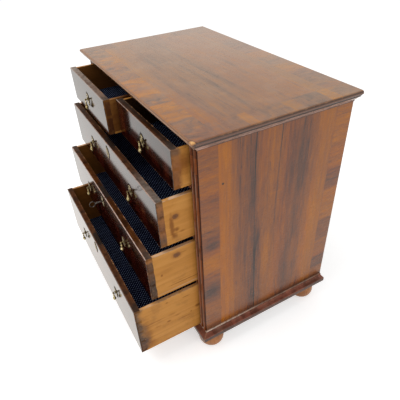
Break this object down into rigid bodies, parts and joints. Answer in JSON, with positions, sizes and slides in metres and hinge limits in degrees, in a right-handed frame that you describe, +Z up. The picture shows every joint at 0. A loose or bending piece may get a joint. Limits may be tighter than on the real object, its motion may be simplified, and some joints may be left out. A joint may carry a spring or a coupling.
{
  "type": "chest of drawers",
  "caption": "Low veneered chest with short drawers over long ones, half-round beads, moulded top and base, turned bun feet and drop handles.",
  "frame": {"origin": "on the floor, under the middle of the overall box with the drawers open as at rest", "axes": "+Z up, +Y towards the back, +X to the right as seen facing the front; the drawers open towards -Y"},
  "size_m": [0.9632, 0.8054, 0.9022],
  "materials": {
    "walnut_top": "waxed and faded walnut veneer, crossbanded",
    "walnut_side": "waxed walnut veneer with dark streaks",
    "walnut_front": "glossy dark walnut veneer",
    "walnut_moulding": "cross-grain walnut, polished and worn",
    "pine": "planed old pine",
    "pine_side": "honey-coloured old pine, bare",
    "pine_rough": "rough-sawn oxidised pine",
    "turned_wood": "turned fruitwood, waxed",
    "spotted_paper": "dark blue lining paper with small pale spots",
    "brass": "aged brass, worn bright on the raised parts",
    "iron": "dark iron, lightly rusted"
  },
  "bodies": {
    "case": {"top_board": "walnut_top", "top_moulding": "walnut_moulding", "carcase_top": "pine", "side_left": "walnut_side", "side_right": "walnut_side", "back_boards": "pine_rough", "bottom_board": "pine_rough", "base_frame": "pine_rough", "base_moulding": "walnut_moulding", "bun_feet": "turned_wood", "front_frame": "pine", "dust_boards": "pine_rough", "centre_divider": "pine", "guides_and_stops": "pine_rough", "front_beads": "walnut_moulding"},
    "lower_drawer": {"lower_front": "walnut_front", "lower_sides": "pine_side", "lower_back": "pine_side", "lower_bottom": "pine_side", "lower_lining": "spotted_paper", "lower_brasses": "brass", "lower_lock_case": "iron"},
    "lower_drop_left": {"lower_drop_left": "brass"},
    "lower_drop_right": {"lower_drop_right": "brass"},
    "lower_lock_bolt": {"lower_lock_bolt": "iron"},
    "middle_drawer": {"middle_front": "walnut_front", "middle_sides": "pine_side", "middle_back": "pine_side", "middle_bottom": "pine_side", "middle_lining": "spotted_paper", "middle_brasses": "brass", "middle_lock_case": "iron"},
    "middle_drop_left": {"middle_drop_left": "brass"},
    "middle_drop_right": {"middle_drop_right": "brass"},
    "middle_lock_bolt": {"middle_lock_bolt": "iron"},
    "upper_drawer": {"upper_front": "walnut_front", "upper_sides": "pine_side", "upper_back": "pine_side", "upper_bottom": "pine_side", "upper_lining": "spotted_paper", "upper_brasses": "brass", "upper_lock_case": "iron"},
    "upper_drop_left": {"upper_drop_left": "brass"},
    "upper_drop_right": {"upper_drop_right": "brass"},
    "upper_lock_bolt": {"upper_lock_bolt": "iron"},
    "small_left_drawer": {"small_left_front": "walnut_front", "small_left_sides": "pine_side", "small_left_back": "pine_side", "small_left_bottom": "pine_side", "small_left_lining": "spotted_paper", "small_left_brasses": "brass"},
    "small_left_drop": {"small_left_drop": "brass"},
    "small_right_drawer": {"small_right_front": "walnut_front", "small_right_sides": "pine_side", "small_right_back": "pine_side", "small_right_bottom": "pine_side", "small_right_lining": "spotted_paper", "small_right_brasses": "brass"},
    "small_right_drop": {"small_right_drop": "brass"},
    "key": {"key": "iron"}
  },
  "joints": [
    {"name": "lower_drawer_slide", "type": "slide", "parent": "case", "child": "lower_drawer", "axis": [0, -1, 0], "range_m": [-0.2402, 0.1598]},
    {"name": "lower_drop_left_swing", "type": "hinge", "parent": "lower_drawer", "child": "lower_drop_left", "pos_m": [-0.197, -0.39645, 0.2123], "axis": [-1, 0, 0], "range_deg": [-4, 110]},
    {"name": "lower_drop_right_swing", "type": "hinge", "parent": "lower_drawer", "child": "lower_drop_right", "pos_m": [0.197, -0.39645, 0.2123], "axis": [-1, 0, 0], "range_deg": [-4, 110]},
    {"name": "lower_bolt_slide", "type": "slide", "parent": "lower_drawer", "child": "lower_lock_bolt", "axis": [0, 0, 1], "range_m": [0, 0.009]},
    {"name": "middle_drawer_slide", "type": "slide", "parent": "case", "child": "middle_drawer", "axis": [0, -1, 0], "range_m": [-0.1724, 0.2276]},
    {"name": "middle_drop_left_swing", "type": "hinge", "parent": "middle_drawer", "child": "middle_drop_left", "pos_m": [-0.197, -0.32865, 0.43335], "axis": [-1, 0, 0], "range_deg": [-4, 110]},
    {"name": "middle_drop_right_swing", "type": "hinge", "parent": "middle_drawer", "child": "middle_drop_right", "pos_m": [0.197, -0.32865, 0.43335], "axis": [-1, 0, 0], "range_deg": [-4, 110]},
    {"name": "middle_bolt_slide", "type": "slide", "parent": "middle_drawer", "child": "middle_lock_bolt", "axis": [0, 0, 1], "range_m": [0, 0.009]},
    {"name": "upper_drawer_slide", "type": "slide", "parent": "case", "child": "upper_drawer", "axis": [0, -1, 0], "range_m": [-0.1177, 0.2823]},
    {"name": "upper_drop_left_swing", "type": "hinge", "parent": "upper_drawer", "child": "upper_drop_left", "pos_m": [-0.197, -0.27395, 0.6289], "axis": [-1, 0, 0], "range_deg": [-4, 110]},
    {"name": "upper_drop_right_swing", "type": "hinge", "parent": "upper_drawer", "child": "upper_drop_right", "pos_m": [0.197, -0.27395, 0.6289], "axis": [-1, 0, 0], "range_deg": [-4, 110]},
    {"name": "upper_bolt_slide", "type": "slide", "parent": "upper_drawer", "child": "upper_lock_bolt", "axis": [0, 0, 1], "range_m": [0, 0.009]},
    {"name": "small_left_drawer_slide", "type": "slide", "parent": "case", "child": "small_left_drawer", "axis": [0, -1, 0], "range_m": [-0.0986, 0.3014]},
    {"name": "small_left_drop_swing", "type": "hinge", "parent": "small_left_drawer", "child": "small_left_drop", "pos_m": [-0.2086, -0.25485, 0.79645], "axis": [-1, 0, 0], "range_deg": [-4, 110]},
    {"name": "small_right_drawer_slide", "type": "slide", "parent": "case", "child": "small_right_drawer", "axis": [0, -1, 0], "range_m": [-0.058, 0.342]},
    {"name": "small_right_drop_swing", "type": "hinge", "parent": "small_right_drawer", "child": "small_right_drop", "pos_m": [0.2086, -0.21425, 0.79645], "axis": [-1, 0, 0], "range_deg": [-4, 110]},
    {"name": "key_turn", "type": "hinge", "parent": "middle_drawer", "child": "key", "pos_m": [0, -0.31765, 0.4856], "axis": [0, 1, 0], "range_deg": [0, 180]}
  ],
  "couplings": [
    {"joint": "key_turn", "follows": "middle_bolt_slide", "rad_per_m": 349.06}
  ]
}
